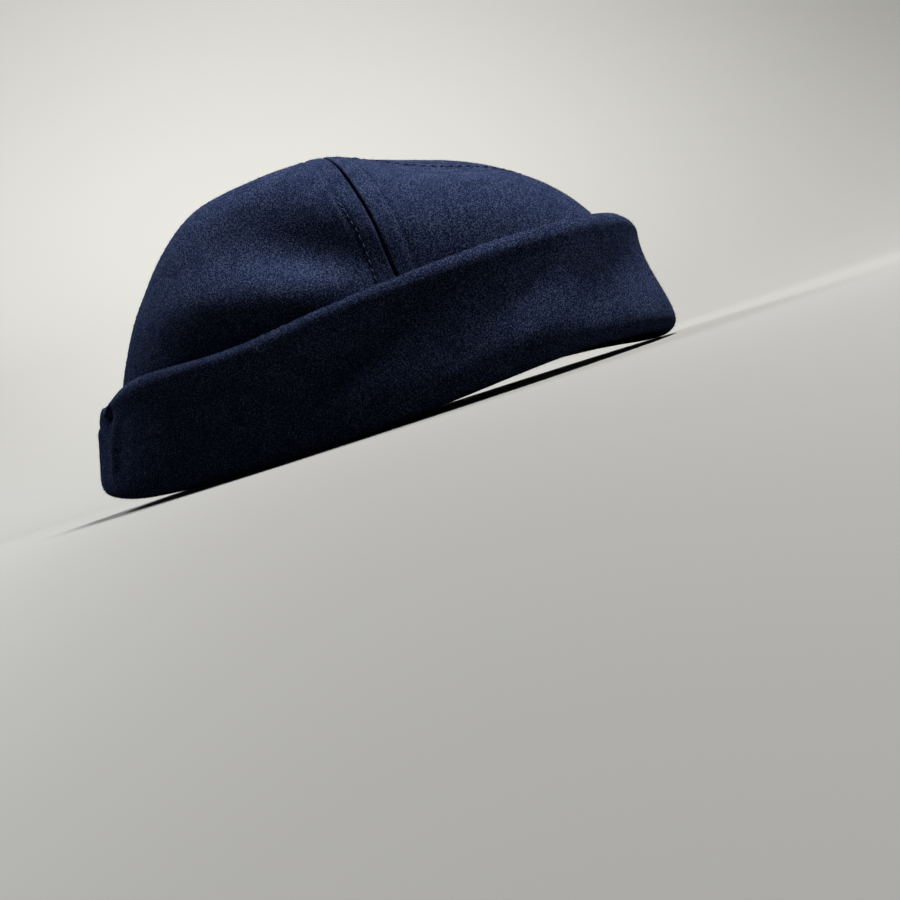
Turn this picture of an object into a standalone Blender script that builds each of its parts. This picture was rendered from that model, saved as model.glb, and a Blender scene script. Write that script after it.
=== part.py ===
"""Fisherman beanie of wool melton: a crown of four gores and a doubled, turned-up cuff.

Metres, +Z up. The front of the cap faces -Y, the wearer's left is +X, and the cap
rests on its rim at z = 0. A direction is in degrees round the cap, 0 at the front
and positive towards the wearer's left. A rise runs up the crown, from 0 where it is
sewn to the cuff to 1 at the point where the four seams meet.
"""

import bmesh
import bpy
import numpy as np

# Driving sizes
HEAD_LENGTH = 0.202  # inside the rim, front to back
HEAD_WIDTH = 0.161  # inside the rim, side to side
CROWN_HEIGHT = 0.1035  # from the surface it rests on to the point of the crown
MELTON = 0.0017  # one layer of the cloth
CUFF_HEIGHT = 0.041  # of the turned-up band at the sides
CUFF_WALL = 0.0034  # the band is the cloth doubled
EDGE_ROLL = 0.0054  # how thick the soft fold along the top of the cuff is
CUFF_STAND = 0.0034  # space between the crown and the top of the cuff, at the sides
RIM_ROLL = 0.0032  # radius that the middle of the band rolls round at the rim
RIM_FLAT = 0.0004  # how far the soft roll is pressed flat where it rests
JOIN_HEIGHT = 0.012  # of the seam between crown and cuff, hidden inside the rim
SEAM_GAP = 0.0003  # between neighbouring pieces
SEAM_DIP = 0.0008  # how deep the crown's seams draw in
SEAM_DIP_REACH = 0.0030  # how far the dip reaches to each side of a seam
SEAM_DIP_CLEAR = 0.0105  # how far from the crown's point the dips fade in
SEAM_FORWARD = 0.009  # how far forward of the middle the side seams reach the rim
POINT_FORWARD = 0.002  # how far forward of the middle the point of the crown lies
EGG = 0.03  # how much narrower the rim is in front than behind, as a share of its width

# The crown's outline: how high each ring lies between the join and the point,
# and how far it reaches, as shares of the rim's half length and half width.
CROWN_RINGS = (
    # rise, height, front, side, back
    (0.00, 0.000, 1.000, 1.000, 1.000),
    (0.14, 0.180, 0.975, 0.975, 0.955),
    (0.28, 0.355, 0.957, 0.935, 0.898),
    (0.41, 0.510, 0.872, 0.877, 0.824),
    (0.54, 0.655, 0.746, 0.755, 0.739),
    (0.66, 0.785, 0.606, 0.606, 0.650),
    (0.78, 0.893, 0.441, 0.458, 0.540),
    (0.89, 0.968, 0.183, 0.259, 0.396),
    (1.00, 1.000, 0.000, 0.000, 0.000),
)

# Puffs (positive) and dents (negative) of the crown, as shares of its height. A slant in
# degrees turns a form's width up towards the wearer's left.
CROWN_FORMS = (
    # direction, rise, slant, half width, half height, depth
    (38.0, 0.58, 0.0, 0.34, 0.30, 0.105),
    (-36.0, 0.77, 0.0, 0.30, 0.22, -0.105),
    (-70.0, 0.86, 0.0, 0.12, 0.10, -0.010),
    (-106.0, 0.48, -40.0, 0.27, 0.11, -0.085),
    (-113.0, 0.34, -13.0, 0.45, 0.09, 0.031),
    (118.0, 0.50, 0.0, 0.25, 0.16, -0.018),
)

# The cuff round the cap, the same on both sides. Heights are shares of CUFF_HEIGHT,
# stands of CUFF_STAND, rolls of RIM_ROLL, and the lift of the rim of CUFF_HEIGHT.
CUFF_ROUND = (
    # direction, height, stand, roll, lift
    (0.0, 1.03, 1.8, 1.60, 0.00),
    (35.0, 1.17, 2.1, 1.30, 0.08),
    (60.0, 1.17, 1.5, 1.10, 0.12),
    (90.0, 1.10, 1.0, 1.00, 0.05),
    (105.0, 1.04, 1.0, 1.00, 0.00),
    (120.0, 0.98, 1.0, 1.00, 0.00),
    (150.0, 1.03, 1.1, 1.00, 0.06),
    (180.0, 0.81, 1.7, 1.10, 0.18),
)

# Puffs and folds of the cuff's outside, as shares of CUFF_HEIGHT, slanted in the same way.
CUFF_FORMS = (
    # direction, share of the way up, slant, half width, half height, depth
    (-172.0, 0.85, 0.0, 0.11, 0.17, -0.070),
    (-172.0, 0.60, 0.0, 0.10, 0.40, -0.035),
    (-101.0, 0.64, 15.0, 0.55, 0.20, -0.088),
    (-66.0, 0.64, 6.0, 0.70, 0.17, -0.030),
    (-36.0, 0.55, 17.0, 0.50, 0.22, -0.095),
    (-66.0, 0.27, 8.0, 0.80, 0.17, 0.070),
    (-140.0, 0.66, 0.0, 0.80, 0.26, -0.030),
    (96.0, 0.74, -8.0, 0.60, 0.22, -0.040),
    (60.0, 0.40, -8.0, 0.90, 0.25, 0.030),
)

# Where the folds of the cuff fade in above its soft roll, as shares of RIM_ROLL.
FOLDS_START = 1.5
FOLDS_FULL = 4.5

# Above this rise the crown is taken as level, fully so where the second is added.
TOP_RISE = 0.93
TOP_BLEND = 0.05

# How finely the cloth is divided.
GORE_COLUMNS = 14
GORE_ROWS = 15
CUFF_STEPS = 108
CUFF_BACK_CLOSER = 0.45  # radians by which the cuff's sections draw together behind
ROLL_STEPS = 5
LEG_SHARES = (0.28, 0.54, 0.75, 0.88, 1.0)  # of the way up the cuff, closer at its top edge
EDGE_TURNS = (45.0, 90.0, 135.0)  # degrees round the top edge of the cuff
SHARP_ANGLE = 50.0  # degrees, above which an edge is shaded sharp
MERGE = 1e-6

# Steps over which the cloth's slope is measured, the first in degrees.
NORMAL_STEP = 1.5
RISE_STEP = 0.012

NAVY = (0.018, 0.026, 0.062, 1.0)
CLOTH_ROUGHNESS = 0.95


def smooth(places, values, at, flat_ends=False):
    """The value at each place asked for, on a smooth curve through a table's rows."""
    places = np.asarray(places, float)
    values = np.asarray(values, float)
    at = np.clip(at, places[0], places[-1])
    slopes = np.gradient(values, places)
    if flat_ends:
        slopes[[0, -1]] = 0.0
    row = np.clip(np.searchsorted(places, at, side="right") - 1, 0, len(places) - 2)
    width = places[row + 1] - places[row]
    t = (at - places[row]) / width
    start = (1 + 2 * t) * (1 - t) ** 2 * values[row]
    end = t**2 * (3 - 2 * t) * values[row + 1]
    leave = t * (1 - t) ** 2 * width * slopes[row]
    arrive = t**2 * (t - 1) * width * slopes[row + 1]
    return start + end + leave + arrive


def unit(vectors):
    """The vectors at length 1."""
    return vectors / np.linalg.norm(vectors, axis=-1, keepdims=True)


def plan(direction, reach=1.0):
    """A point of the rim's inside, or of a smaller ring that reaches a share of it."""
    turn = np.radians(direction)
    x = np.sin(turn) * HEAD_WIDTH / 2 * (1 - EGG * np.cos(turn)) * reach
    y = -np.cos(turn) * HEAD_LENGTH / 2 * reach
    y = y - SEAM_FORWARD * np.sin(turn) ** 2 * reach - POINT_FORWARD * (1 - reach)
    return np.stack(np.broadcast_arrays(x, y), axis=-1)


def plan_outward(direction):
    """The level unit vector straight out from the rim."""
    along = plan(direction + NORMAL_STEP) - plan(direction - NORMAL_STEP)
    return unit(np.stack([along[..., 1], -along[..., 0]], axis=-1))


def crown_base(direction, rise):
    """The crown's outside before its seams, puffs and dents."""
    direction, rise = np.broadcast_arrays(direction, rise)
    rows = np.array(CROWN_RINGS)
    height, front, side, back = (smooth(rows[:, 0], rows[:, i], rise) for i in range(1, 5))
    turn = np.radians(direction)
    forward = np.cos(turn)
    ends = np.where(forward > 0, front, back)
    reach = ends * forward**2 + side * np.sin(turn) ** 2
    cloth = MELTON * np.minimum(1, 2 * (1 - rise))[..., None]
    xy = plan(direction, reach) + plan_outward(direction) * cloth
    z = JOIN_HEIGHT + height * (CROWN_HEIGHT - JOIN_HEIGHT)
    return np.concatenate([xy, z[..., None]], axis=-1)


def outward_of(surface, direction, rise):
    """The unit normal of a crown surface, turning straight up at its point."""
    direction, rise = np.broadcast_arrays(direction, rise)
    rise = np.clip(rise, 0.0, 1 - RISE_STEP)
    across = surface(direction + NORMAL_STEP, rise) - surface(direction - NORMAL_STEP, rise)
    up = surface(direction, rise + RISE_STEP) - surface(direction, rise - RISE_STEP)
    normal = unit(np.cross(across, up))
    top = np.clip((rise - TOP_RISE) / TOP_BLEND, 0, 1)[..., None]
    return unit(normal * (1 - top) + np.array([0.0, 0.0, 1.0]) * top)


def form_depth(points, centre, across, up, row, size):
    """How far one puff or dent moves each point, from its row of a table."""
    slant, half_width, half_height, depth = row
    away = points - centre
    lean = np.radians(slant)
    aside = away @ (across * np.cos(lean) + up * np.sin(lean)) / (half_width * size)
    along = away @ (up * np.cos(lean) - across * np.sin(lean)) / (half_height * size)
    off = away @ np.cross(across, up) / (half_width * size)
    return depth * size * np.exp(-(aside**2) - along**2 - off**2)


def crown_formed(direction, rise):
    """The crown's outside with its puffs and dents, before its seams draw in."""
    direction, rise = np.broadcast_arrays(np.asarray(direction, float), np.asarray(rise, float))
    base = crown_base(direction, rise)
    outward = outward_of(crown_base, direction, rise)
    depth = np.zeros(rise.shape)
    for place, high, *row in CROWN_FORMS:
        centre = crown_base(np.array(place), np.array(high))
        across = unit(crown_base(np.array(place + NORMAL_STEP), np.array(high)) - centre)
        normal = outward_of(crown_base, np.array(place), np.array(high))
        up = np.cross(normal, across)
        depth += form_depth(base, centre, across, up, row, CROWN_HEIGHT)
    return base + outward * depth[..., None]


def crown_outside(direction, rise):
    """The crown's outside, drawn in along its four seams."""
    formed = crown_formed(direction, rise)
    base = crown_base(direction, rise)
    aside, ahead = base[..., 0], base[..., 1] - crown_base(-90.0, rise)[..., 1]
    from_seam = np.minimum(abs(aside), abs(ahead))
    from_point = np.hypot(aside, ahead)
    dip = np.exp(-((from_seam / SEAM_DIP_REACH) ** 2))
    dip *= 1 - np.exp(-((from_point / SEAM_DIP_CLEAR) ** 2))
    return formed - outward_of(crown_base, direction, rise) * (SEAM_DIP * dip)[..., None]


def crown_reach_at(direction, height):
    """How far out from the rim's line the crown's outside is at a height."""
    rises = np.arange(0.0, TOP_RISE, RISE_STEP)
    heights = crown_base(0.0, rises)[:, 2]
    surface = crown_formed(direction, np.interp(height, heights, rises))
    return np.sum((surface[..., :2] - plan(direction)) * plan_outward(direction), axis=-1)


def gore_grid(first, last):
    """The outside and the inside of one gore between two seams, each as rows of points."""
    share = (1 - np.cos(np.linspace(0, np.pi, GORE_COLUMNS + 1))) / 2
    direction, rise = np.meshgrid(first + (last - first) * share, np.linspace(0, 1, GORE_ROWS + 1))
    outside = crown_outside(direction, rise)
    inside = outside - outward_of(crown_outside, direction, rise) * MELTON
    outside[-1], inside[-1] = outside[-1, 0], outside[-1, 0] - [0.0, 0.0, MELTON]
    middle = np.radians((first + last) / 2)
    aside = np.sign([np.sin(middle), -np.cos(middle)]) * SEAM_GAP / 2
    for grid in (outside, inside):
        grid[..., :2] += aside
        grid[0, :, 2] = JOIN_HEIGHT
    return outside, inside


def cuff_middle(direction):
    """The middle of the cuff's wall from its sewn edge, round the rim, to its top, as
    distances out from the rim's line and heights, and the lift of the rim there."""
    rows = np.array(CUFF_ROUND)
    height, stand, roll, lift = (
        smooth(rows[:, 0], rows[:, i], abs(direction), flat_ends=True) for i in range(1, 5)
    )
    half = CUFF_WALL / 2
    roll, lift = roll * RIM_ROLL, np.maximum(lift, 0) * CUFF_HEIGHT
    roll_out, roll_up = half + roll, half + roll - RIM_FLAT + lift
    turn = np.linspace(np.pi, 2 * np.pi, ROLL_STEPS + 1)[:, None]
    out = [np.full((1,) + roll.shape, half), roll_out + roll * np.cos(turn)]
    up = [np.full((1,) + roll.shape, JOIN_HEIGHT - SEAM_GAP), roll_up + roll * np.sin(turn)]
    top_up = height * CUFF_HEIGHT - EDGE_ROLL / 2
    top_out = crown_reach_at(direction, top_up) + stand * CUFF_STAND + half
    share = np.array(LEG_SHARES)[:, None]
    out.append(roll_out + roll + (top_out - roll_out - roll) * share)
    up.append(roll_up + (top_up - roll_up) * share)
    return np.concatenate(out), np.concatenate(up), lift


def cuff_grid(direction):
    """The cuff's closed sections, each a loop round its wall, at the directions given."""
    out, up, lift = cuff_middle(direction)
    half = np.full((len(out), 1), CUFF_WALL / 2)
    half[-1] = EDGE_ROLL / 2
    along = unit(np.stack([np.gradient(out, axis=0), np.gradient(up, axis=0)], axis=-1))
    along[0] = (0.0, -1.0)
    outer_out, outer_up = out + half * along[..., 1], up - half * along[..., 0]
    inner_out, inner_up = out - half * along[..., 1], up + half * along[..., 0]
    cap = np.radians(EDGE_TURNS)[:, None]
    end_along, end_side = along[-1], along[-1][..., ::-1] * [1, -1]
    cap_out = out[-1] + half[-1] * (np.cos(cap) * end_side[..., 0] + np.sin(cap) * end_along[..., 0])
    cap_up = up[-1] + half[-1] * (np.cos(cap) * end_side[..., 1] + np.sin(cap) * end_along[..., 1])
    loop_out = np.concatenate([outer_out, cap_out, inner_out[::-1]])
    loop_up = np.concatenate([np.maximum(outer_up, lift), cap_up, inner_up[::-1]])
    points = np.empty(loop_out.shape + (3,))
    points[..., :2] = plan(direction) + plan_outward(direction) * loop_out[..., None]
    points[..., 2] = loop_up
    return points + cuff_folds(points, direction)


def cuff_folds(points, direction):
    """How the puffs and folds move the cuff's points, straight out from the cap."""
    depth = np.zeros(points.shape[:-1])
    for place, high, *row in CUFF_FORMS:
        out, up, _ = cuff_middle(np.array([place]))
        height = high * (up[-1, 0] + EDGE_ROLL / 2)
        outward = plan_outward(place)
        reach = np.interp(height, up[ROLL_STEPS + 1 :, 0], out[ROLL_STEPS + 1 :, 0]) + CUFF_WALL / 2
        centre = np.append(plan(place) + outward * reach, height)
        across = np.array([-outward[1], outward[0], 0.0])
        depth += form_depth(points, centre, across, np.array([0.0, 0.0, 1.0]), row, CUFF_HEIGHT)
    leg = np.arange(len(points))
    on_leg = (leg > ROLL_STEPS) & (leg < len(points) - ROLL_STEPS - 1)
    rising = np.clip((points[..., 2] / RIM_ROLL - FOLDS_START) / (FOLDS_FULL - FOLDS_START), 0, 1)
    moved = depth * on_leg[:, None] * rising
    outward = np.zeros(points.shape)
    outward[..., :2] = plan_outward(direction)
    return outward * moved[..., None]


def cuff_directions():
    """Directions once round the cap, closer together at the back, where the tuck is."""
    even = np.linspace(-180, 180, CUFF_STEPS, endpoint=False)
    return even + np.degrees(CUFF_BACK_CLOSER) * np.sin(np.radians(even))


def add_piece(name, bm, material):
    """One object of a finished bmesh, with its faces pointing out."""
    bmesh.ops.remove_doubles(bm, verts=bm.verts, dist=MERGE)
    bmesh.ops.recalc_face_normals(bm, faces=bm.faces)
    mesh = bpy.data.meshes.new(name)
    bm.to_mesh(mesh)
    bm.free()
    mesh.shade_smooth()
    mesh.set_sharp_from_angle(angle=np.radians(SHARP_ANGLE))
    mesh.materials.append(material)
    piece = bpy.data.objects.new(name, mesh)
    bpy.context.collection.objects.link(piece)
    return piece


def add_faces(rows, bm, wrap=False):
    """Faces between rows of bmesh points; a wrapped grid closes both ways."""
    for i in range(len(rows) - (0 if wrap else 1)):
        lower, upper = rows[i], rows[(i + 1) % len(rows)]
        for j in range(len(lower) - (0 if wrap else 1)):
            k = (j + 1) % len(lower)
            bm.faces.new((lower[j], lower[k], upper[k], upper[j]))


def make_gore(name, first, last, material):
    """One of the crown's four panels, between the seams at two directions."""
    bm = bmesh.new()
    outside, inside = (
        [[bm.verts.new(point) for point in row] for row in grid.tolist()]
        for grid in gore_grid(first, last)
    )
    add_faces(outside, bm)
    add_faces([row[::-1] for row in inside], bm)
    add_faces([inside[0], outside[0]], bm)
    add_faces([[row[0] for row in outside], [row[0] for row in inside]], bm)
    add_faces([[row[-1] for row in inside], [row[-1] for row in outside]], bm)
    return add_piece(name, bm, material)


def make_cuff(material):
    """The doubled band: sewn inside the rim, rolled round it and turned up outside."""
    bm = bmesh.new()
    rows = [[bm.verts.new(point) for point in row] for row in cuff_grid(cuff_directions()).tolist()]
    add_faces(rows, bm, wrap=True)
    return add_piece("cuff", bm, material)


def melton():
    """Navy wool melton, quite matt."""
    material = bpy.data.materials.new("navy_melton")
    material.use_nodes = True
    shader = material.node_tree.nodes["Principled BSDF"]
    shader.inputs["Base Color"].default_value = NAVY
    shader.inputs["Roughness"].default_value = CLOTH_ROUGHNESS
    shader.inputs["Metallic"].default_value = 0.0
    return material


def centre_pieces(pieces):
    """Puts the middle of the cap's plan on the origin, with the rim at z = 0."""
    points = np.array([vertex.co for piece in pieces for vertex in piece.data.vertices])
    middle = (points.min(axis=0) + points.max(axis=0)) / 2
    for piece in pieces:
        piece.location = (-middle[0], -middle[1], 0.0)


def main():
    for old in list(bpy.data.objects):
        bpy.data.objects.remove(old, do_unlink=True)
    cloth = melton()
    pieces = [
        make_gore("gore_front_right", -90.0, 0.0, cloth),
        make_gore("gore_rear_right", -180.0, -90.0, cloth),
        make_gore("gore_front_left", 0.0, 90.0, cloth),
        make_gore("gore_rear_left", 90.0, 180.0, cloth),
        make_cuff(cloth),
    ]
    centre_pieces(pieces)


if __name__ == "__main__":
    main()
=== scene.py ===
"""The looks of a fisherman beanie of navy wool melton.

Cloth, stitches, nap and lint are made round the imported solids, in metres, +Z up.
The front of the cap faces -Y and the wearer's left is +X. A direction is in degrees
round the cap, 0 at the front and positive towards the wearer's left.
"""

import math

import bpy
import numpy as np
from bpy.props import FloatProperty, FloatVectorProperty, IntProperty, PointerProperty
from mathutils import Matrix, Vector, noise
from mathutils.bvhtree import BVHTree


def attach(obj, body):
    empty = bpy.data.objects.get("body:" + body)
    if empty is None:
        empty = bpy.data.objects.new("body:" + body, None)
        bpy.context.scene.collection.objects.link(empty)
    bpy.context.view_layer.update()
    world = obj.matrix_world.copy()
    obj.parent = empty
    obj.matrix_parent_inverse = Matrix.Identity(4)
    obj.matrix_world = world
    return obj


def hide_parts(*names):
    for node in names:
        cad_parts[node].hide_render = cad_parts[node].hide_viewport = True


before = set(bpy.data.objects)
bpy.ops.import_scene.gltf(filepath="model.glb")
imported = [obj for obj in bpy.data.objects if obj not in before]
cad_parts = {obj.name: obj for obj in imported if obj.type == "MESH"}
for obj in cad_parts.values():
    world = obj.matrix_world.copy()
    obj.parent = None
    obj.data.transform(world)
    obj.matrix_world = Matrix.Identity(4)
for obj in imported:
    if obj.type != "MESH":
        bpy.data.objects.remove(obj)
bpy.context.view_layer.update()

bl_info = {
    "name": "Fisherman Beanie",
    "version": (1, 0, 0),
    "blender": (4, 5, 0),
    "location": "View3D > Sidebar > Beanie",
    "description": "Dresses a sewn wool cap with its cloth, stitches and nap",
    "category": "Object",
}

BODY = "root"

GORES = ("gore_front_right", "gore_rear_right", "gore_front_left", "gore_rear_left")
SEAMS = (
    ("gore_front_left", "gore_front_right"),
    ("gore_front_right", "gore_rear_right"),
    ("gore_rear_right", "gore_rear_left"),
    ("gore_rear_left", "gore_front_left"),
)
CROWN_CLOTH = ["cloth_" + node for node in GORES]
CUFF_CLOTH = ["cloth_cuff"]

# A point inside the crown that every part of its cloth faces away from.
HEART = np.array([0.0, -0.004, 0.030])
LEVEL = np.array([1.0, 1.0, 0.0])  # leaves only the level part of a vector
ORIGIN = (0.0, 0.0, 0.0)
TINY = 1e-12  # the least length that a vector is divided by

# How the solids' loose triangles are made into cloth.
MERGE = 1e-6
QUAD_FACE_ANGLE = math.radians(57)
QUAD_SHAPE_ANGLE = math.radians(92)
WALL_ANGLE = math.radians(50)
WALL_CREASE = 0.9
GORE_LEVELS = 3
CUFF_LEVELS = 2

# Finding the seams between the gores' solids, whose walls stand a hair apart.
SOLID_DIGITS = 7  # decimals that tell a solid's corners apart
TWIN_REACH = 0.0006  # corners of two gores this near face each other across a seam
WALL_REACH = 0.0024  # of such places this near each other, only the outermost is kept
WALL_MARGIN = 1e-5  # how much nearer to HEART a place is that counts as under another
SEAM_STEP = 0.0005  # between the points of a seam's line

# How squarely the cloth faces outwards, from where none of it counts to where all does.
OUTSIDE_FACING = (0.1, 0.6)
CUFF_WALL_FACING = (-0.5, 0.7)
RAY_START = 0.3  # rays towards the cap start this far from its axis

# Soft unevenness of the cloth: wave length and height, of each size of wave.
CLOTH_WAVES = ((0.030, 0.00045), (0.011, 0.00016), (0.0045, 0.00006))
WAVE_SHIFT = Vector((7.3, 3.1, 5.7))  # keeps waves of different sizes out of step
CUFF_CALM = (0.002, 0.010)  # heights over which the cuff's unevenness sets in

# The seams: the cloth turns in at a seam, and stands proud over what is folded under it
# as far as the stitches, which draw it down.
ROLL_WIDTH = 0.0006
ROLL_DEPTH = 0.0008
STRIP_RISE = 0.00045
STRIP_START = 0.0008
STRIP_END = (0.0006, 0.0012)  # before the stitches and beyond them, over which it falls off
FILL_WIDTH = 0.0030  # the strip is fuller beside the seam
FILL_RISE = 0.0005
FURROW_WIDTH = 0.0008
FURROW_DEPTH = 0.00042
FURROW_BETWEEN = 0.75  # how deep the furrow is between stitches, as a share
PUCKER_BEYOND = 0.0023  # a low ridge lies this far beyond the stitches
PUCKER_WIDTH = 0.0009
PUCKER_RISE = 0.0002
POINT_CLEAR = 0.006  # strips end this far from the crown's point, and fade in over as much

# The top of the cuff, whose outer side slopes in: over what height, and how far.
EDGE_HEIGHT = 0.0052
EDGE_DEPTH = 0.0017
EDGE_TURN = 3.0  # degrees round the cap over which the height of the edge is found

# Dents and puffs of the cuff and the crown that are finer than the solids have, in mm:
# where they lie, how they lean, how wide and high they are, and how deep.
FINE_FORMS = {
    # direction, height, lean, half width, half height, depth
    "cuff": (
        (-162.6, 34.4, 12.0, 1.8, 2.8, -3.4),  # the hole at the top of the tuck
        (-168.5, 36.5, 0.0, 3.0, 2.6, 1.1),  # the cloth that stands up behind it
        (-161.0, 21.0, -12.0, 3.4, 9.0, 1.0),  # the ridge of the tuck
        (-169.0, 22.0, -12.0, 2.0, 8.0, -0.9),  # the groove behind the ridge
        (-62.0, 28.0, 24.0, 14.0, 2.6, -0.5),  # the fold that rises to the front
        (-46.0, 20.5, 20.0, 17.0, 8.5, -2.2),  # the dent that it runs into
        (-8.0, 29.0, 0.0, 22.0, 13.0, -2.1),  # the hollow of the front
        (-67.0, 13.0, 12.0, 26.0, 8.0, 2.0),  # the belly of the right side
        (-101.0, 25.0, 15.0, 20.0, 7.0, -1.4),  # the hollow above it
        (150.0, 24.0, -10.0, 12.0, 4.0, -0.8),  # soft dents of the left side, from the back
        (70.0, 27.0, -18.0, 16.0, 3.5, -0.5),
        (20.0, 25.0, 0.0, 10.0, 4.0, -0.5),
    ),
    "gore_rear_right": ((-103.0, 40.0, -12.0, 16.0, 10.0, -1.3),),  # a dent over the cuff
}
FORM_UNIT = 0.001  # a millimetre

# The stitches: how deep they dive and how high they lie in thicknesses of the thread, how
# unevenly they point, and the shortest and longest as shares of a stitch.
STITCH_DIVE = 1.4
STITCH_LIFT = 0.7
STITCH_WOBBLE = 0.05
STITCH_LENGTHS = (0.85, 1.1)
STITCH_CLEAR = 0.001  # a row stops this far short of the next seam's row
STITCH_SEED = 11

# The nap: how its fibres rise, as a beta distribution from lying to upright, and their
# lengths and widths as shares of the cloth's own.
NAP_RISE = (1.4, 3.0)
NAP_LENGTHS = (0.55, 1.7)
NAP_WIDTHS = (0.6, 1.2)
NAP_LOW = 2  # nap lengths above the floor, up to which no fibre points down
NAP_SEEDS = {"nap_crown": 21, "nap_cuff": 22}

# Where there is nap: on cloth that faces outwards more than this, above this height.
CROWN_NAP_FACING = 0.2
CROWN_NAP_HEIGHT = 0.026
CUFF_NAP_FACING = -0.1
EDGE_NAP_FACING = 0.3  # upwards, on the top edge of the cuff
EDGE_NAP_HEIGHT = 0.02

# Pale hairs of lint caught on the cloth: where they lie, the way they point, how long they
# are and how far they curl, in mm and degrees.
LINT = (
    # piece, direction, height, points to, length, curl
    ("cuff", -101.0, 13.8, -80.0, 8.0, -50.0),
    ("cuff", -118.5, 37.5, -110.0, 5.5, 210.0),
    ("cuff", -117.6, 39.4, 60.0, 1.4, 40.0),
    ("cuff", -39.2, 11.6, 150.0, 1.2, 30.0),
    ("cuff", -47.8, 11.4, 60.0, 1.4, 50.0),
    ("cuff", -128.0, 14.0, 20.0, 2.2, 60.0),
    ("cuff", 118.0, 22.0, 70.0, 5.0, 90.0),
    ("gore", -73.0, 82.0, 30.0, 1.3, 40.0),
    ("gore", -29.0, 68.8, 100.0, 1.3, 30.0),
    ("gore", -128.0, 66.0, 160.0, 1.8, 60.0),
)
LINT_STEPS = 14
LINT_LIFT = 0.00045
LINT_END_LIFT = 0.4  # how high a hair's ends lie, as a share of its middle

# The scales of the materials' patterns, in waves to the metre. The felt is three layers of
# fibres, drawn out and turned three ways.
FELT_SCALE = 420.0
FELT_STRETCH = 4.0
FELT_TURNS = ((0.3, 0.9, 0.2), (1.4, 0.2, 1.1), (0.6, 2.2, 2.0))
SPECK_SCALE = 2300.0
MOTTLE_SCALE = 160.0
NAP_SCALE = 520.0
PLY_SCALE = 2600.0
LINT_SCALE = 900.0
CLOUD_SCALE = 1.3

# How dark a pattern's darker parts are, as a share of its colour.
PLY_SHADE = 0.45
LINT_SHADE = 0.5
CLOUD_SHADE = 0.96

# The floor: flat round the cap, then curved up by some degrees.
FLOOR_FLAT = 0.50
FLOOR_CURVE = 2.0
FLOOR_TURN = 80.0
FLOOR_STEPS = 24
FLOOR_SIDES = 128

# The lights, each named after its power in the stage's settings.
CAP_MIDDLE = (0.0, 0.0, 0.05)
LIGHTS = (
    # name, side, colour, place, target
    ("key", 0.45, (1.0, 0.985, 0.96), (0.19, -0.52, 1.12), CAP_MIDDLE),
    ("fill", 1.2, (0.86, 0.92, 1.0), (-0.9, -1.0, 0.9), CAP_MIDDLE),
    ("rim", 0.3, (0.95, 0.97, 1.0), (0.64, 0.58, 0.74), CAP_MIDDLE),
    ("backdrop", 1.2, (1.0, 0.99, 0.96), (1.1, 0.0, 1.35), (2.2, 0.0, 0.8)),
)
AMBIENT_COLOUR = (0.85, 0.90, 1.0)

# What the camera looks at lies this far to the right of this place and below it, as the
# camera sees them before it is rolled.
AIM = np.array([0.0, 0.0019, 0.0])
AIM_RIGHT = 0.0165
AIM_BELOW = 0.0161
SENSOR_WIDTH = 36.0  # mm
NEAREST = 0.01  # where the camera's view begins


# Settings


class BeanieCloth(bpy.types.PropertyGroup):
    """The wool melton: its colours and its nap."""

    deep: FloatVectorProperty(
        name="Deep navy",
        description="The cloth between its fibres",
        subtype="COLOR",
        size=3,
        min=0.0,
        max=1.0,
        default=(0.0011, 0.0023, 0.0078),
    )
    navy: FloatVectorProperty(
        name="Navy",
        description="The cloth as a whole",
        subtype="COLOR",
        size=3,
        min=0.0,
        max=1.0,
        default=(0.0076, 0.0118, 0.0278),
    )
    fibre: FloatVectorProperty(
        name="Fibre tips",
        description="The fibres that catch the light",
        subtype="COLOR",
        size=3,
        min=0.0,
        max=1.0,
        default=(0.0405, 0.0492, 0.0935),
    )
    nap_length: FloatProperty(
        name="Nap length",
        description="How far the fibres stand off the felted cloth",
        unit="LENGTH",
        min=0.0001,
        max=0.004,
        default=0.0009,
    )
    nap_width: FloatProperty(
        name="Fibre width",
        description="How thick a fibre of the nap is",
        unit="LENGTH",
        min=0.00001,
        max=0.0002,
        default=0.000045,
    )
    nap_count: IntProperty(
        name="Fibres",
        description="How many fibres the crown has, and the cuff",
        min=100,
        max=49000,
        default=46000,
    )


class BeanieLint(bpy.types.PropertyGroup):
    """The few hairs of lint caught on the cloth."""

    thickness: FloatProperty(
        name="Hair width",
        description="How thick a hair of lint is",
        unit="LENGTH",
        min=0.00002,
        max=0.0003,
        default=0.00007,
    )
    colour: FloatVectorProperty(
        name="Lint colour",
        description="The pale lint",
        subtype="COLOR",
        size=3,
        min=0.0,
        max=1.0,
        default=(0.075, 0.090, 0.135),
    )


class BeanieStitching(bpy.types.PropertyGroup):
    """The rows of topstitching beside the crown's seams."""

    beside: FloatProperty(
        name="Beside the seam",
        description="How far a row of stitches lies from its seam",
        unit="LENGTH",
        min=0.002,
        max=0.015,
        default=0.0065,
    )
    pitch: FloatProperty(
        name="Pitch",
        description="From one needle hole to the next",
        unit="LENGTH",
        min=0.0015,
        max=0.006,
        default=0.0034,
    )
    stitch: FloatProperty(
        name="Stitch length",
        description="How much of a stitch shows",
        unit="LENGTH",
        min=0.001,
        max=0.005,
        default=0.0026,
    )
    thread: FloatProperty(
        name="Thread",
        description="How thick the thread is",
        unit="LENGTH",
        min=0.0001,
        max=0.001,
        default=0.00036,
    )
    colour: FloatVectorProperty(
        name="Thread colour",
        description="The thread of the topstitching",
        subtype="COLOR",
        size=3,
        min=0.0,
        max=1.0,
        default=(0.040, 0.057, 0.114),
    )


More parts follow.
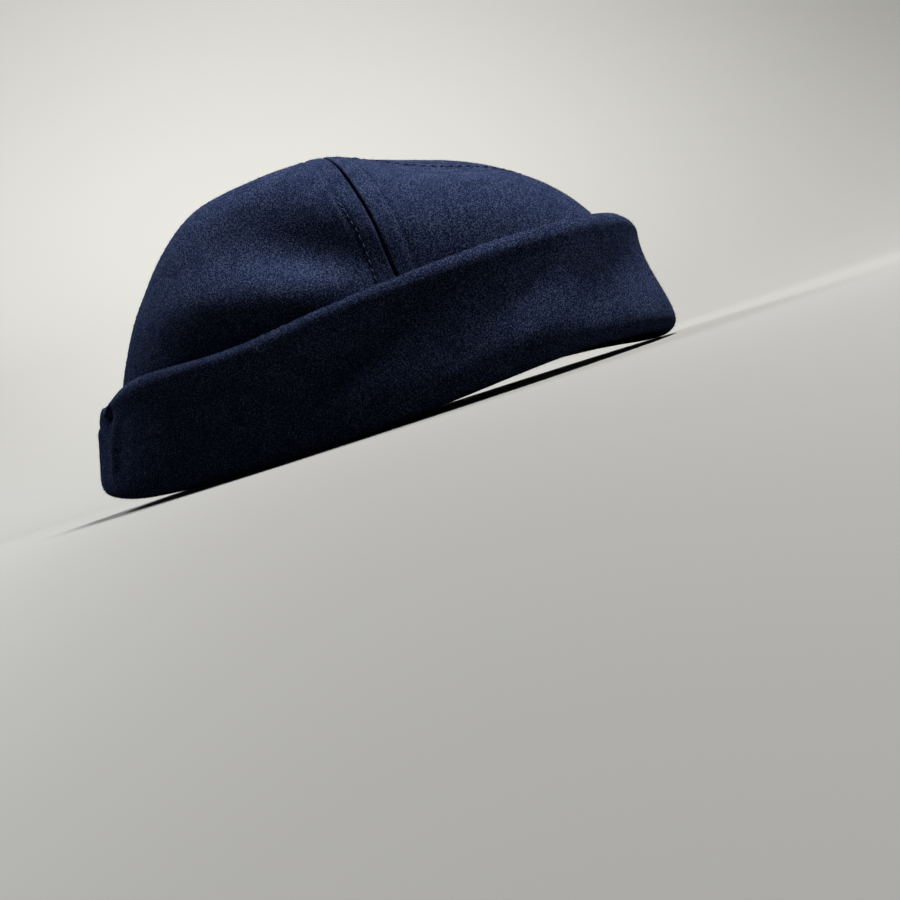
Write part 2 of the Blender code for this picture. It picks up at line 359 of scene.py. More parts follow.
class BeanieStage(bpy.types.PropertyGroup):
    """The studio round the cap: floor, lights and camera."""

    floor: FloatVectorProperty(
        name="Floor colour",
        description="The floor and the sweep behind",
        subtype="COLOR",
        size=3,
        min=0.0,
        max=1.0,
        default=(0.088, 0.088, 0.085),
    )
    key: FloatProperty(
        name="Key light",
        description="Power of the light above and before the cap",
        unit="POWER",
        default=88.0,
    )
    fill: FloatProperty(
        name="Fill light",
        description="Power of the weak light on the camera's side",
        unit="POWER",
        default=0.12,
    )
    rim: FloatProperty(
        name="Rim light",
        description="Power of the light behind the cap that draws its back edge",
        unit="POWER",
        default=24.0,
    )
    backdrop: FloatProperty(
        name="Backdrop light",
        description="Power of the light on the sweep behind the cap",
        unit="POWER",
        default=142.0,
    )
    ambient: FloatProperty(
        name="Ambient light",
        description="Strength of the even light from all round",
        default=0.012,
    )
    lens: FloatProperty(
        name="Lens",
        description="Focal length of the camera",
        unit="CAMERA",
        min=20.0,
        max=200.0,
        default=46.0,
    )
    yaw: FloatProperty(
        name="Yaw",
        description="How far the camera stands from square to the cap's right side, to the rear",
        subtype="ANGLE",
        default=math.radians(6.6),
    )
    elevation: FloatProperty(
        name="Elevation",
        description="How far the camera looks down",
        subtype="ANGLE",
        default=math.radians(3.0),
    )
    roll: FloatProperty(
        name="Roll",
        description="How far the cap's front is tipped up in the picture",
        subtype="ANGLE",
        default=math.radians(18.0),
    )
    distance: FloatProperty(
        name="Distance",
        description="From the cap's middle to the camera",
        unit="LENGTH",
        default=0.441,
    )


# Geometry


def deselect_all():
    """Leaves nothing selected, in object mode."""
    if bpy.context.object and bpy.context.object.mode != "OBJECT":
        bpy.ops.object.mode_set(mode="OBJECT")
    bpy.ops.object.select_all(action="DESELECT")


def make_active(piece):
    """Selects one piece alone."""
    deselect_all()
    piece.select_set(True)
    bpy.context.view_layer.objects.active = piece


def edit_all():
    """Enters edit mode on the active piece, with all of it selected."""
    bpy.ops.object.mode_set(mode="EDIT")
    bpy.ops.mesh.select_all(action="SELECT")


def new_object(name, data):
    """A new object in the scene, at the origin."""
    made = bpy.data.objects.new(name, data)
    bpy.context.scene.collection.objects.link(made)
    return made


def take_mesh(piece):
    """The mesh of a prototype, whose object is removed."""
    mesh = piece.data
    bpy.data.objects.remove(piece)
    return mesh


def points_of(mesh):
    """A mesh's points as rows of an array."""
    flat = np.empty(len(mesh.vertices) * 3, np.float32)
    mesh.vertices.foreach_get("co", flat)
    return flat.reshape(-1, 3).astype(float)


def normals_of(mesh):
    """A mesh's point normals as rows of an array."""
    flat = np.empty(len(mesh.vertices) * 3, np.float32)
    mesh.vertex_normals.foreach_get("vector", flat)
    return flat.reshape(-1, 3).astype(float)


def set_points(mesh, points):
    """Moves a mesh's points."""
    mesh.vertices.foreach_set("co", points.astype(np.float32).ravel())
    mesh.update()


def unit(vectors):
    """The vectors at length 1."""
    return vectors / np.maximum(np.linalg.norm(vectors, axis=-1, keepdims=True), TINY)


def soft_step(low, high, values):
    """0 below low, 1 above high, and a smooth rise between."""
    share = np.clip((values - low) / (high - low), 0, 1)
    return share * share * (3 - 2 * share)


def bell(values, half):
    """1 at 0, and smoothly less away from it."""
    return np.exp(-((values / half) ** 2))


def waves(points):
    """Soft unevenness of the cloth at each point, summed over waves of several sizes."""
    total = np.zeros(len(points))
    for size, (length, height) in enumerate(CLOTH_WAVES):
        shift = size * WAVE_SHIFT
        total += height * np.array([noise.noise(Vector(p) / length + shift) for p in points])
    return total


def solid_points(node):
    """Each corner of a solid, once."""
    return np.unique(points_of(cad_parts[node].data).round(SOLID_DIGITS), axis=0)


def smooth_through(points, step):
    """A smooth curve through rough points, as points a step apart along it."""
    along = np.append(0, np.cumsum(np.linalg.norm(np.diff(points, axis=0), axis=1)))
    slope = np.gradient(points, along, axis=0)
    at = np.arange(0, along[-1], step)
    row = np.clip(np.searchsorted(along, at, side="right") - 1, 0, len(along) - 2)
    width = (along[row + 1] - along[row])[:, None]
    t = ((at - along[row]) / width[:, 0])[:, None]
    return (
        (1 + 2 * t) * (1 - t) ** 2 * points[row]
        + t**2 * (3 - 2 * t) * points[row + 1]
        + t * (1 - t) ** 2 * width * slope[row]
        + t**2 * (t - 1) * width * slope[row + 1]
    )


def seam_line(first, second):
    """The outside of the seam between two gores, as close points from the cuff up."""
    near, far = solid_points(first), solid_points(second)
    apart = np.linalg.norm(near[:, None] - far[None], axis=-1)
    twins = apart.min(axis=1) < TWIN_REACH
    middle = (near[twins] + far[apart.argmin(axis=1)[twins]]) / 2
    reach = np.linalg.norm(middle - HEART, axis=1)
    between = np.linalg.norm(middle[:, None] - middle[None], axis=-1)
    covered = (between < WALL_REACH) & (reach[None] > reach[:, None] + WALL_MARGIN)
    outer = middle[~covered.any(axis=1)]
    away = outer - HEART
    rise = np.arctan2(away[:, 2], np.linalg.norm(away[:, :2], axis=1))
    return smooth_through(outer[np.argsort(rise)], SEAM_STEP)


def beside_line(points, line):
    """How far each point is from a line, and how far along it the nearest place is."""
    squares = (points**2).sum(axis=1)[:, None] + (line**2).sum(axis=1) - 2 * points @ line.T
    nearest = squares.argmin(axis=1)
    return np.linalg.norm(points - line[nearest], axis=1), nearest * SEAM_STEP


def cloth_copy(node, levels, creased=False):
    """A solid's mesh made whole, in quads, and smoothed into cloth, its walls kept if creased."""
    name = "cloth_" + node
    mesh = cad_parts[node].data.copy()
    mesh.name = name
    mesh.materials.clear()
    piece = new_object(name, mesh)
    make_active(piece)
    bpy.ops.mesh.customdata_custom_splitnormals_clear()
    edit_all()
    bpy.ops.mesh.remove_doubles(threshold=MERGE)
    bpy.ops.mesh.tris_convert_to_quads(
        face_threshold=QUAD_FACE_ANGLE, shape_threshold=QUAD_SHAPE_ANGLE
    )
    if creased:
        bpy.ops.mesh.select_mode(type="EDGE")
        bpy.ops.mesh.select_all(action="DESELECT")
        bpy.ops.mesh.edges_select_sharp(sharpness=WALL_ANGLE)
        bpy.ops.transform.edge_crease(value=WALL_CREASE)
    bpy.ops.object.mode_set(mode="OBJECT")
    smoother = piece.modifiers.new("smooth_cloth", "SUBSURF")
    smoother.levels = smoother.render_levels = levels
    bpy.ops.object.modifier_apply(modifier=smoother.name)
    bpy.ops.object.shade_smooth()
    return piece


def finish_piece(piece, surface, *nodes):
    """Gives a finished piece its material and its body, and hides the solids it stands for."""
    piece.data.materials.append(surface)
    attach(piece, BODY)
    if nodes:
        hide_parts(*nodes)


def cloth_tree(names):
    """A search tree over the faces of some pieces of cloth."""
    corners, faces, count = [], [], 0
    for name in names:
        mesh = bpy.data.objects[name].data
        corners.append(points_of(mesh))
        faces += [tuple(v + count for v in face.vertices) for face in mesh.polygons]
        count += len(mesh.vertices)
    return BVHTree.FromPolygons(np.concatenate(corners).tolist(), faces)


def outward_share(points, normals):
    """1 on the outside of the cloth, 0 on its inside and its cut edges."""
    return soft_step(*OUTSIDE_FACING, (normals * unit(points - HEART)).sum(axis=1))


def cloth_place(tree, direction, height):
    """Where the outside of the cloth is, at a direction and a height, and its normal."""
    turn = math.radians(direction)
    out = Vector((math.sin(turn), -math.cos(turn), 0.0))
    start = out * RAY_START + Vector((0.0, 0.0, height))
    place, normal, _, _ = tree.ray_cast(start, -out)
    if place is None:
        raise RuntimeError(f"no cloth at direction {direction} and height {height}")
    return np.array(place), np.array(normal)


def level_and_up(normal):
    """Two directions in the cloth where it has this normal: a level one, and the one upwards."""
    level = unit(np.array([-normal[1], normal[0], 0.0]))
    return level, np.cross(normal, level)


def fine_forms(piece, node):
    """Moves a piece's cloth by the fine dents and puffs of its solid."""
    points, normals = points_of(piece.data), normals_of(piece.data)
    outside = outward_share(points, normals)
    tree = cloth_tree([piece.name])
    moved = points.copy()
    for direction, height, lean, half_width, half_height, depth in FINE_FORMS[node]:
        centre, normal = cloth_place(tree, direction, height * FORM_UNIT)
        across, up = level_and_up(normal)
        turn = math.radians(lean)
        away = points - centre
        aside = away @ (across * math.cos(turn) + up * math.sin(turn))
        along = away @ (up * math.cos(turn) - across * math.sin(turn))
        share = bell(aside, half_width * FORM_UNIT) * bell(along, half_height * FORM_UNIT)
        share *= bell(away @ normal, half_width * FORM_UNIT)
        share *= outside
        moved += normal * (share * depth * FORM_UNIT)[:, None]
    set_points(piece.data, moved)


def shape_gore(piece, lines, stitching):
    """Turns the gore's cloth in at its seams and draws it down under the stitches."""
    points, normals = points_of(piece.data), normals_of(piece.data)
    outside = outward_share(points, normals)
    seams = [beside_line(points, line) for line in lines]
    from_seam = np.minimum(seams[0][0], seams[1][0])
    point = (lines[0][-1] + lines[1][-1]) / 2
    open_share = soft_step(POINT_CLEAR, 2 * POINT_CLEAR, np.linalg.norm(points - point, axis=1))
    move = -ROLL_DEPTH * bell(from_seam, ROLL_WIDTH)
    fall = stitching.beside - STRIP_END[0], stitching.beside + STRIP_END[1]
    strip = soft_step(0, STRIP_START, from_seam) * (1 - soft_step(*fall, from_seam))
    move += (STRIP_RISE + FILL_RISE * bell(from_seam, FILL_WIDTH)) * strip * open_share
    pucker = bell(from_seam - stitching.beside - PUCKER_BEYOND, PUCKER_WIDTH)
    move += PUCKER_RISE * pucker * open_share
    for away, along in seams:
        stitch = 0.5 - 0.5 * np.cos(2 * math.pi * along / stitching.pitch)
        depth = FURROW_DEPTH * (1 - (1 - FURROW_BETWEEN) * stitch)
        move -= depth * bell(away - stitching.beside, FURROW_WIDTH) * open_share
    moved = points + normals * (move * outside)[:, None]
    moved += unit(points - HEART) * waves(points)[:, None]
    set_points(piece.data, moved)


def edge_slope(points):
    """How far the cuff slopes in at each point, from none below its edge to most at its top."""
    turns = np.degrees(np.arctan2(points[:, 0], -points[:, 1]))
    steps = round(360 / EDGE_TURN)
    sector = np.round(turns / EDGE_TURN).astype(int) % steps
    tops = np.array([points[sector == i, 2].max() for i in range(steps)])
    tops = (np.roll(tops, 1) + 2 * tops + np.roll(tops, -1)) / 4
    around = np.arange(steps + 1) * EDGE_TURN
    top = np.interp(turns % 360, around, np.append(tops, tops[0]))
    return EDGE_DEPTH * (1 - soft_step(0, EDGE_HEIGHT, top - points[:, 2]))


def shape_cuff(piece):
    """Makes the cuff uneven above its foot, and slopes in the outer side of its top edge."""
    points, normals = points_of(piece.data), normals_of(piece.data)
    outward = unit((points - HEART) * LEVEL)
    rising = soft_step(*CUFF_CALM, points[:, 2])
    points += outward * (waves(points) * rising)[:, None]
    outer_side = soft_step(*CUFF_WALL_FACING, (normals * outward).sum(axis=1))
    points -= outward * (edge_slope(points) * outer_side)[:, None]
    set_points(piece.data, points)


def mesh_of_copies(name, prototype, places, turns, sizes):
    """One mesh of many copies of a prototype, each with its place, its three axes and its size."""
    corners = points_of(prototype)
    faces = [np.array(face.vertices) for face in prototype.polygons]
    placed = np.einsum("mij,mnj->mni", turns, corners[None] * sizes[:, None])
    placed += places[:, None]
    steps = np.arange(len(places)) * len(corners)
    made = bpy.data.meshes.new(name)
    all_faces = [row for face in faces for row in (steps[:, None] + face[None]).tolist()]
    made.from_pydata(placed.reshape(-1, 3).tolist(), [], all_faces)
    made.shade_smooth()
    return made


def axes_along(along, up):
    """Three axes as columns for each row: along, across and as near up as can be."""
    along = unit(along)
    across = unit(np.cross(up, along))
    return np.stack([along, across, np.cross(along, across)], axis=-1)


# Materials


class Wire:
    """The output of a node, for use in sums and products."""

    def __init__(self, shade, socket):
        self.shade = shade
        self.socket = socket

    def maths(self, operation, first, second):
        """The output of a Math node on two numbers or wires."""
        settings = {"operation": operation}
        return self.shade.node("ShaderNodeMath", settings, Value=first, Value_001=second)

    def __add__(self, other):
        return self.maths("ADD", self, other)

    def __radd__(self, other):
        return self.maths("ADD", other, self)

    def __mul__(self, other):
        return self.maths("MULTIPLY", self, other)

    def __rmul__(self, other):
        return self.maths("MULTIPLY", other, self)


class Shade:
    """One material, built as expressions on its nodes' outputs."""

    def __init__(self, name):
        self.material = bpy.data.materials.new(name)
        self.material.use_nodes = True
        self.tree = self.material.node_tree
        self.surface = self.tree.nodes["Principled BSDF"]
        self.place = self.node("ShaderNodeTexCoord", output="Object")

    def set_inputs(self, node, values):
        """Sets or links sockets, each given by its identifier, or its name with _ for a space."""
        sockets = {socket.identifier: socket for socket in node.inputs}
        for name, value in values.items():
            socket = sockets.get(name) or node.inputs[name.replace("_", " ")]
            if isinstance(value, Wire):
                self.tree.links.new(value.socket, socket)
            else:
                socket.default_value = value

    def set_stops(self, ramp, stops):
        """Gives a colour ramp its stops, each a place and a grey."""
        while len(ramp.elements) < len(stops):
            ramp.elements.new(1.0)
        for element, (place, grey) in zip(ramp.elements, stops):
            element.position = place
            element.color = (grey, grey, grey, 1.0)

    def node(self, kind, settings=None, output=0, **values):
        """An output of a new node, from its type, its settings and its sockets' values."""
        node = self.tree.nodes.new(kind)
        for name, value in (settings or {}).items():
            if name == "stops":
                self.set_stops(node.color_ramp, value)
            else:
                setattr(node, name, value)
        self.set_inputs(node, values)
        named = {socket.identifier: socket for socket in node.outputs}
        return Wire(self, named.get(output) or node.outputs[output])

    def noise(self, scale, detail=1.0, roughness=0.5, place=None):
        """Noise over the piece's own coordinates, or over other ones."""
        return self.node(
            "ShaderNodeTexNoise",
            output="Fac",
            Vector=place or self.place,
            Scale=scale,
            Detail=detail,
            Roughness=roughness,
        )

    def ramp(self, value, low, high):
        """Black up to one value, white from another, and an even rise between."""
        return self.node("ShaderNodeValToRGB", {"stops": ((low, 0.0), (high, 1.0))}, Fac=value)

    def mix(self, share, first, second):
        """A mix of two colours."""
        return self.node(
            "ShaderNodeMix",
            {"data_type": "RGBA"},
            output="Result_Color",
            Factor_Float=share,
            A_Color=first,
            B_Color=second,
        )

    def principled(self, **values):
        """Sets or links sockets of the material's own shader."""
        self.set_inputs(self.surface, values)


def with_alpha(colour, share=1.0):
    """A colour as a socket takes it, darkened to a share of itself."""
    return (*(share * part for part in colour), 1.0)


def melton_material(cloth):
    """Felted wool: dark between its fibres, lighter and bluer at their tips."""
    shade = Shade("navy_melton")
    stretch = (1.0, FELT_STRETCH, FELT_STRETCH)

    def fibres(turn):
        turned = shade.node("ShaderNodeMapping", Vector=shade.place, Rotation=turn, Scale=stretch)
        return shade.noise(FELT_SCALE, detail=3.0, roughness=0.65, place=turned)

    felt = sum(fibres(turn) for turn in FELT_TURNS) * (1 / len(FELT_TURNS))
    speck = shade.noise(SPECK_SCALE, detail=2.0, roughness=0.6)
    mottle = shade.noise(MOTTLE_SCALE, detail=4.0, roughness=0.6)
    body = shade.ramp(felt * 0.4 + speck * 0.6, low=0.40, high=0.58)
    tips = shade.ramp(felt * 0.3 + speck * 0.6 + mottle * 0.1, low=0.50, high=0.64)
    colour = shade.mix(body, with_alpha(cloth.deep), with_alpha(cloth.navy))
    colour = shade.mix(tips, colour, with_alpha(cloth.fibre))
    height = felt * 0.6 + speck * 0.4
    bump = shade.node("ShaderNodeBump", Strength=0.55, Distance=0.0004, Height=height)
    shade.principled(
        Base_Color=colour,
        Roughness=0.92,
        Normal=bump,
        Specular_IOR_Level=0.0,
        Sheen_Weight=0.005,
        Sheen_Roughness=0.40,
        Sheen_Tint=(0.30, 0.45, 0.95, 1.0),
    )
    return shade.material


def nap_material(cloth):
    """Loose wool fibres: some as dark as the cloth, some pale."""
    shade = Shade("wool_fibres")
    pale = shade.ramp(shade.noise(NAP_SCALE), low=0.50, high=0.74)
    colour = shade.mix(pale, with_alpha(cloth.deep), with_alpha(cloth.fibre))
    shade.principled(Base_Color=colour, Roughness=0.85, Specular_IOR_Level=0.0)
    return shade.material


def thread_material(stitching):
    """Polyester thread, with the twist of its plies."""
    shade = Shade("navy_thread")
    ply = shade.noise(PLY_SCALE)
    thread = stitching.colour
    colour = shade.mix(ply, with_alpha(thread, PLY_SHADE), with_alpha(thread))
    bump = shade.node("ShaderNodeBump", Strength=0.4, Distance=0.0001, Height=ply)
    shade.principled(Base_Color=colour, Roughness=0.55, Normal=bump, Specular_IOR_Level=0.0)
    return shade.material


def lint_material(lint):
    """Pale, matt lint."""
    shade = Shade("pale_lint")
    strand = shade.noise(LINT_SCALE)
    colour = shade.mix(strand, with_alpha(lint.colour, LINT_SHADE), with_alpha(lint.colour))
    shade.principled(Base_Color=colour, Roughness=0.8, Specular_IOR_Level=0.1)
    return shade.material


def floor_material(stage):
    """A plain, matt, pale floor with a very faint unevenness."""
    shade = Shade("pale_floor")
    cloud = shade.noise(CLOUD_SCALE, detail=2.0)
    colour = shade.mix(cloud, with_alpha(stage.floor, CLOUD_SHADE), with_alpha(stage.floor))
    shade.principled(Base_Color=colour, Roughness=0.8, Specular_IOR_Level=0.1)
    return shade.material


def material(name, maker, settings):
    """A material by name, made the first time that a piece asks for it."""
    return bpy.data.materials.get(name) or maker(settings)


# Pieces


class OBJECT_OT_beanie_gores(bpy.types.Operator):
    """Make the four gores of the crown, with their seams turned in"""

    bl_idname = "object.beanie_gores"
    bl_label = "Crown gores"

    def execute(self, context):
        cloth = material("navy_melton", melton_material, context.scene.beanie_cloth)
        for node in GORES:
            lines = [seam_line(*pair) for pair in SEAMS if node in pair]
            piece = cloth_copy(node, GORE_LEVELS, creased=True)
            shape_gore(piece, lines, context.scene.beanie_stitching)
            if node in FINE_FORMS:
                fine_forms(piece, node)
            finish_piece(piece, cloth, node)
        return {"FINISHED"}


class OBJECT_OT_beanie_cuff(bpy.types.Operator):
    """Make the doubled, turned-up cuff, with its folds"""

    bl_idname = "object.beanie_cuff"
    bl_label = "Cuff"

    def execute(self, context):
        cloth = material("navy_melton", melton_material, context.scene.beanie_cloth)
        piece = cloth_copy("cuff", CUFF_LEVELS)
        shape_cuff(piece)
        fine_forms(piece, "cuff")
        finish_piece(piece, cloth, "cuff")
        return {"FINISHED"}


def stitch_shape(stitching):
    """One stitch: a short length of thread that dives into the cloth at both ends."""
    deselect_all()
    bpy.ops.mesh.primitive_uv_sphere_add(segments=8, ring_count=7, radius=0.5)
    edit_all()
    bpy.ops.transform.rotate(value=math.pi / 2, orient_axis="Y", center_override=ORIGIN)
    bpy.ops.transform.resize(
        value=(stitching.stitch, stitching.thread, stitching.thread), center_override=ORIGIN
    )
    bpy.ops.object.mode_set(mode="OBJECT")
    piece = bpy.context.object
    points = points_of(piece.data)
    share = points[:, 0] / (stitching.stitch / 2)
    points[:, 2] -= STITCH_DIVE * stitching.thread * share**2
    set_points(piece.data, points)
    return take_mesh(piece)


def stitch_marks(pair, stitching):
    """Points a stitch apart along a seam, up to where the rows meet, each with the way on."""
    line = seam_line(*pair)
    step = round(stitching.pitch / SEAM_STEP, 6)  # settings hold single precision only
    marks = np.arange(step / 2, len(line) - 1, step)
    whole = np.arange(len(line))
    at = np.stack([np.interp(marks, whole, line[:, i]) for i in range(3)], axis=-1)
    ahead = np.gradient(at, axis=0)
    clear = np.linalg.norm(at - line[-1], axis=1) > stitching.beside + STITCH_CLEAR
    return zip(at[clear], ahead[clear])


class OBJECT_OT_beanie_topstitching(bpy.types.Operator):
    """Sew a row of stitches along both sides of every seam of the crown"""

    bl_idname = "object.beanie_topstitching"
    bl_label = "Topstitching"

    def execute(self, context):
        stitching = context.scene.beanie_stitching
        tree = cloth_tree(CROWN_CLOTH)
        rng = np.random.default_rng(STITCH_SEED)
        places, alongs, ups = [], [], []
        for pair in SEAMS:
            for point, along in stitch_marks(pair, stitching):
                for side in (-1, 1):
                    across = unit(np.cross(along, unit(point - HEART))) * side
                    nearest = tree.find_nearest(Vector(point + across * stitching.beside))
                    place, normal = np.array(nearest[0]), np.array(nearest[1])
                    wobble = rng.normal(0, STITCH_WOBBLE, 3) * np.linalg.norm(along)
                    places.append(place + normal * stitching.thread * STITCH_LIFT)
                    alongs.append(along + wobble)
                    ups.append(normal)
        turns = axes_along(np.array(alongs), np.array(ups))
        sizes = np.ones((len(places), 3))
        sizes[:, 0] = rng.uniform(*STITCH_LENGTHS, len(places))
        mesh = mesh_of_copies(
            "topstitching", stitch_shape(stitching), np.array(places), turns, sizes
        )
        piece = new_object("topstitching", mesh)
        finish_piece(piece, material("navy_thread", thread_material, stitching))
        return {"FINISHED"}


def strand_shape():
    """One fibre of the nap, a fine three-sided needle of unit width and length along +X."""
    deselect_all()
    bpy.ops.mesh.primitive_cone_add(vertices=3, radius1=0.5, radius2=0.0, depth=1.0)
    edit_all()
    bpy.ops.transform.translate(value=(0.0, 0.0, 0.5))
    bpy.ops.object.mode_set(mode="OBJECT")
    piece = bpy.context.object
    points = points_of(piece.data)
    set_points(piece.data, points[:, [2, 0, 1]])
    return take_mesh(piece)


def scatter(mesh, keep, count, rng):
    """Places spread evenly over the faces that are kept, each with its normal."""
    mesh.calc_loop_triangles()
    corners = np.empty(len(mesh.loop_triangles) * 3, np.int32)
    mesh.loop_triangles.foreach_get("vertices", corners)
    corners = corners.reshape(-1, 3)
    points, normals = points_of(mesh), normals_of(mesh)
    middle = points[corners].mean(axis=1)
    facing = unit(normals[corners].sum(axis=1))
    sides = np.cross(
        points[corners[:, 1]] - points[corners[:, 0]], points[corners[:, 2]] - points[corners[:, 0]]
    )
    area = np.linalg.norm(sides, axis=1) * keep(middle, facing)
    chosen = rng.choice(len(corners), size=count, p=area / area.sum())
    shares = rng.dirichlet((1.0, 1.0, 1.0), count)
    places = (points[corners[chosen]] * shares[..., None]).sum(axis=1)
    return places, unit((normals[corners[chosen]] * shares[..., None]).sum(axis=1))


def on_crown(middle, facing):
    """The faces of the crown that have nap: its outside, down to just inside the cuff."""
    outward = (facing * unit(middle - HEART)).sum(axis=1) > CROWN_NAP_FACING
    return outward & (middle[:, 2] > CROWN_NAP_HEIGHT)


def on_cuff(middle, facing):
    """The faces of the cuff that have nap: its outside and its top edge."""
    outward = (facing * unit((middle - HEART) * LEVEL)).sum(axis=1) > CUFF_NAP_FACING
    return outward | ((facing[:, 2] > EDGE_NAP_FACING) & (middle[:, 2] > EDGE_NAP_HEIGHT))


def nap(name, pieces, keep, cloth):
    """A piece of nap: fibres that lie and stand all over the outside of the cloth."""
    rng = np.random.default_rng(NAP_SEEDS[name])
    meshes = [bpy.data.objects[piece].data for piece in pieces]
    found = [scatter(mesh, keep, cloth.nap_count // len(meshes), rng) for mesh in meshes]
    places = np.concatenate([places for places, _ in found])
    normals = np.concatenate([normals for _, normals in found])
    lying = unit(np.cross(normals, rng.normal(size=places.shape)))
    rise = rng.beta(*NAP_RISE, len(places))[:, None]
    along = unit(lying * (1 - rise) + normals * rise)
    low = places[:, 2] < NAP_LOW * cloth.nap_length
    along[low, 2] = abs(along[low, 2])
    sizes = np.empty(places.shape)
    sizes[:, 0] = cloth.nap_length * rng.uniform(*NAP_LENGTHS, len(places))
    sizes[:, 1:] = cloth.nap_width * rng.uniform(*NAP_WIDTHS, len(places))[:, None]
    rooted = places - normals * cloth.nap_width
    mesh = mesh_of_copies(name, strand_shape(), rooted, axes_along(along, normals), sizes)
    finish_piece(new_object(name, mesh), material("wool_fibres", nap_material, cloth))


class OBJECT_OT_beanie_nap(bpy.types.Operator):
    """Raise the nap of the wool on the crown and the cuff"""

    bl_idname = "object.beanie_nap"
    bl_label = "Nap"

    def execute(self, context):
        nap("nap_crown", CROWN_CLOTH, on_crown, context.scene.beanie_cloth)
        nap("nap_cuff", CUFF_CLOTH, on_cuff, context.scene.beanie_cloth)
        return {"FINISHED"}


def lint_route(tree, direction, height, points_to, length, curl):
    """A hair's route over the cloth: an arc that starts at a place and lifts in its middle."""
    place, normal = cloth_place(tree, direction, height * FORM_UNIT)
    across, up = level_and_up(normal)
    step = length * FORM_UNIT / LINT_STEPS
    route = [place]
    for i in range(LINT_STEPS):
        turn = math.radians(points_to + curl * i / LINT_STEPS)
        route.append(route[-1] + step * (across * math.cos(turn) + up * math.sin(turn)))
    arch = np.sin(np.linspace(0, math.pi, LINT_STEPS + 1))
    lifts = LINT_LIFT * (LINT_END_LIFT + (1 - LINT_END_LIFT) * arch)
    found = [tree.find_nearest(Vector(point)) for point in route]
    return [np.array(spot[0]) + np.array(spot[1]) * lift for spot, lift in zip(found, lifts)]


class OBJECT_OT_beanie_lint(bpy.types.Operator):
    """Lay a few pale hairs of lint on the cloth"""

    bl_idname = "object.beanie_lint"
    bl_label = "Lint"

    def execute(self, context):
        lint = context.scene.beanie_lint
        trees = {"cuff": cloth_tree(CUFF_CLOTH), "gore": cloth_tree(CROWN_CLOTH)}
        curve = bpy.data.curves.new("lint", "CURVE")
        curve.dimensions = "3D"
        curve.bevel_depth = lint.thickness / 2
        curve.bevel_resolution = 1
        for kind, *row in LINT:
            route = lint_route(trees[kind], *row)
            spline = curve.splines.new("POLY")
            spline.points.add(len(route) - 1)
            for point, place in zip(spline.points, route):
                point.co = (*place, 1.0)
        make_active(new_object("lint", curve))
        bpy.ops.object.convert(target="MESH")
        bpy.ops.object.shade_smooth()
        finish_piece(bpy.context.object, material("pale_lint", lint_material, lint))
        return {"FINISHED"}


# Stage


def area_light(name, side, power, colour, place, target):
    """A soft square light that faces a target."""
    deselect_all()
    bpy.ops.object.light_add(type="AREA", location=place)
    light = bpy.context.object
    light.name = name
    light.data.shape = "SQUARE"
    light.data.size = side
    light.data.energy = power
    light.data.color = colour
    towards = Vector(target) - Vector(place)
    light.rotation_euler = towards.to_track_quat("-Z", "Y").to_euler()


def make_camera(stage):
    """The camera, at the picture's angle to the cap and just above the floor."""
    across = np.array([-math.sin(stage.yaw), -math.cos(stage.yaw), 0.0])
    back = np.array(
        [
            -math.cos(stage.yaw) * math.cos(stage.elevation),
            math.sin(stage.yaw) * math.cos(stage.elevation),
            math.sin(stage.elevation),
        ]
    )
    up = np.cross(back, across)
    target = AIM + AIM_RIGHT * across - AIM_BELOW * up
    camera_x = across * math.cos(stage.roll) - up * math.sin(stage.roll)
    camera_y = across * math.sin(stage.roll) + up * math.cos(stage.roll)
    axes = Matrix(np.stack([camera_x, camera_y, back], axis=-1).tolist())
    data = bpy.data.cameras.new("camera")
    data.lens = stage.lens
    data.sensor_width = SENSOR_WIDTH
    data.clip_start = NEAREST
    camera = new_object("camera", data)
    camera.matrix_world = Matrix.Translation(target + back * stage.distance) @ axes.to_4x4()
    bpy.context.scene.camera = camera


def make_sweep():
    """A round floor that curves up all round into a wall."""
    deselect_all()
    bpy.ops.mesh.primitive_circle_add(
        vertices=FLOOR_SIDES, radius=FLOOR_FLAT, fill_type="NGON"
    )
    floor = bpy.context.object
    floor.name = "floor"
    edit_all()
    bpy.ops.mesh.region_to_loop()
    reach, height = FLOOR_FLAT, 0.0
    for turn in np.linspace(0, math.radians(FLOOR_TURN), FLOOR_STEPS + 1)[1:]:
        wider = FLOOR_FLAT + FLOOR_CURVE * math.sin(turn)
        higher = FLOOR_CURVE * (1 - math.cos(turn))
        bpy.ops.mesh.extrude_edges_move()
        bpy.ops.transform.resize(
            value=(wider / reach, wider / reach, 1.0), center_override=ORIGIN
        )
        bpy.ops.transform.translate(value=(0.0, 0.0, higher - height))
        reach, height = wider, higher
    bpy.ops.object.mode_set(mode="OBJECT")
    bpy.ops.object.shade_smooth()
    return floor


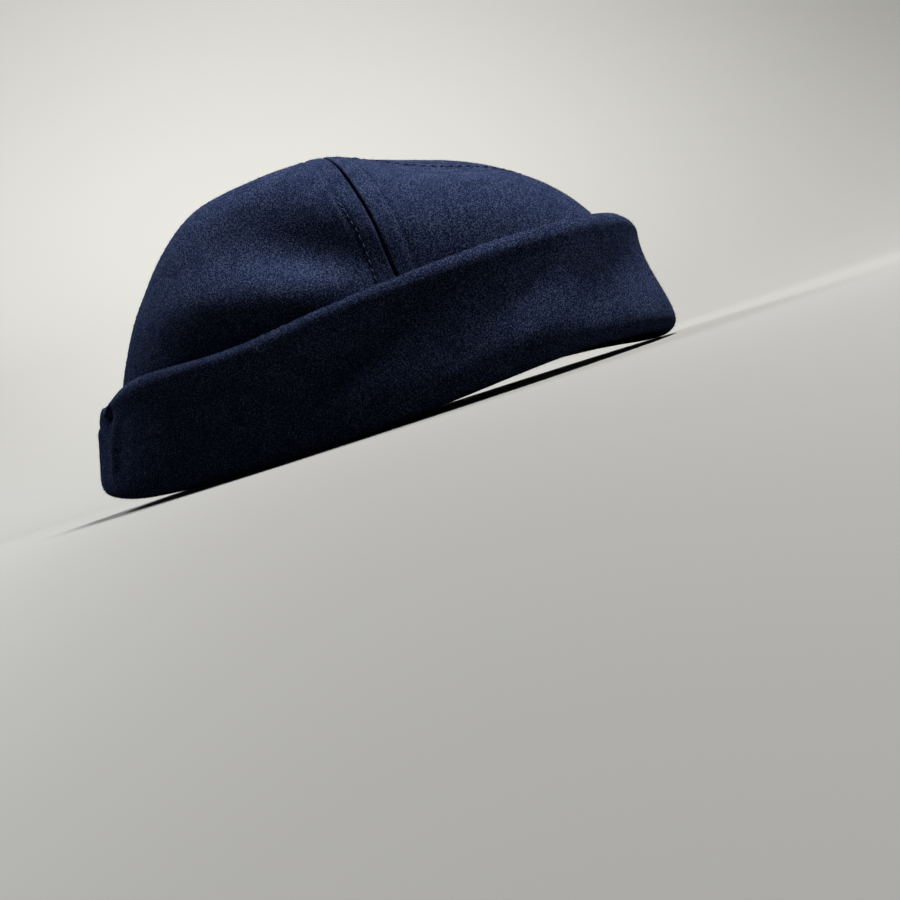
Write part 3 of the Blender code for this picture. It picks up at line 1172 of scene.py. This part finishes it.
class OBJECT_OT_beanie_stage(bpy.types.Operator):
    """Set the pale studio floor, the lights and the camera"""

    bl_idname = "object.beanie_stage"
    bl_label = "Stage"

    def execute(self, context):
        stage = context.scene.beanie_stage
        floor = make_sweep()
        floor.data.materials.append(floor_material(stage))
        for name, side, colour, place, target in LIGHTS:
            area_light(name + "_light", side, getattr(stage, name), colour, place, target)
        world = bpy.data.worlds.new("studio")
        world.use_nodes = True
        background = world.node_tree.nodes["Background"]
        background.inputs["Color"].default_value = with_alpha(AMBIENT_COLOUR)
        background.inputs["Strength"].default_value = stage.ambient
        context.scene.world = world
        context.scene.view_settings.view_transform = "Standard"
        make_camera(stage)
        return {"FINISHED"}


# Panel and start


class VIEW3D_PT_beanie(bpy.types.Panel):
    """The cap's pieces and sizes, in the sidebar"""

    bl_label = "Fisherman Beanie"
    bl_idname = "VIEW3D_PT_beanie"
    bl_space_type = "VIEW_3D"
    bl_region_type = "UI"
    bl_category = "Beanie"

    def draw(self, context):
        for label, group in (
            ("Cloth", context.scene.beanie_cloth),
            ("Lint", context.scene.beanie_lint),
            ("Stitching", context.scene.beanie_stitching),
            ("Stage", context.scene.beanie_stage),
        ):
            box = self.layout.box()
            box.label(text=label)
            for name in group.__annotations__:
                box.prop(group, name)
        for operator in OPERATORS:
            self.layout.operator(operator.bl_idname)


OPERATORS = (
    OBJECT_OT_beanie_gores,
    OBJECT_OT_beanie_cuff,
    OBJECT_OT_beanie_topstitching,
    OBJECT_OT_beanie_nap,
    OBJECT_OT_beanie_lint,
    OBJECT_OT_beanie_stage,
)
GROUPS = {
    "beanie_cloth": BeanieCloth,
    "beanie_lint": BeanieLint,
    "beanie_stitching": BeanieStitching,
    "beanie_stage": BeanieStage,
}


def register():
    """Registers the classes, and gives the scene its groups of settings."""
    for made in (*GROUPS.values(), *OPERATORS, VIEW3D_PT_beanie):
        bpy.utils.register_class(made)
    for name, group in GROUPS.items():
        setattr(bpy.types.Scene, name, PointerProperty(type=group))


def unregister():
    """Takes the settings and the classes away again."""
    for name in GROUPS:
        delattr(bpy.types.Scene, name)
    for made in reversed((*GROUPS.values(), *OPERATORS, VIEW3D_PT_beanie)):
        bpy.utils.unregister_class(made)


def main():
    """Makes every piece in order."""
    register()
    bpy.ops.object.beanie_gores()
    bpy.ops.object.beanie_cuff()
    bpy.ops.object.beanie_topstitching()
    bpy.ops.object.beanie_nap()
    bpy.ops.object.beanie_lint()
    bpy.ops.object.beanie_stage()


if __name__ == "__main__":
    main()
